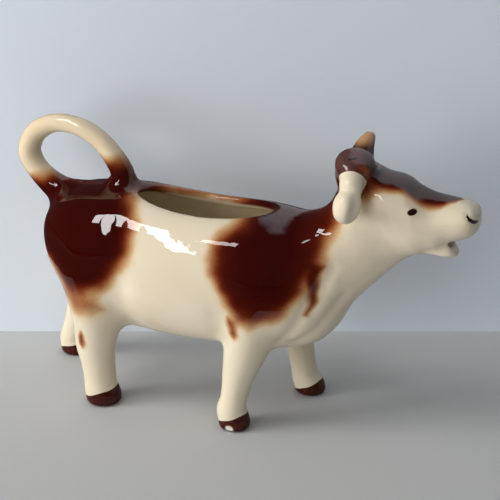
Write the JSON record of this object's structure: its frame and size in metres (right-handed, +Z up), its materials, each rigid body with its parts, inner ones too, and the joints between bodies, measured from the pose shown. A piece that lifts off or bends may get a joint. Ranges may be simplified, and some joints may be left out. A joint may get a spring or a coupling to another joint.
{
  "type": "cow creamer",
  "caption": "Small glazed ceramic milk jug in the shape of a walking cow: oval filler opening in the back, tail curled into a loop handle, open mouth as the pouring spout.",
  "frame": {"origin": "middle of the bounding box at the level of the four soles", "axes": "+X forward from the tail loop to the muzzle, +Y to the cow's left, +Z up"},
  "size_m": [0.1775, 0.0522, 0.109],
  "materials": {
    "body_glaze": "clear gloss glaze over cream with airbrushed red-brown patches",
    "head_glaze": "clear gloss glaze over cream with a red-brown poll and nose bridge",
    "cream_glaze": "clear gloss glaze over cream",
    "horn_glaze": "clear gloss glaze over brown with a tan tip",
    "hoof_glaze": "brushed dark brown gloss glaze"
  },
  "bodies": {
    "root": {"body_shell": "body_glaze", "head_shell": "head_glaze", "lower_lip": "cream_glaze", "tail_handle": "cream_glaze", "horn_right": "horn_glaze", "horn_left": "horn_glaze", "ear_right": "cream_glaze", "ear_left": "cream_glaze", "leg_hind_right": "cream_glaze", "leg_hind_left": "cream_glaze", "leg_fore_right": "cream_glaze", "leg_fore_left": "cream_glaze", "hoof_hind_right": "hoof_glaze", "hoof_hind_left": "hoof_glaze", "hoof_fore_right": "hoof_glaze", "hoof_fore_left": "hoof_glaze"}
  },
  "joints": []
}
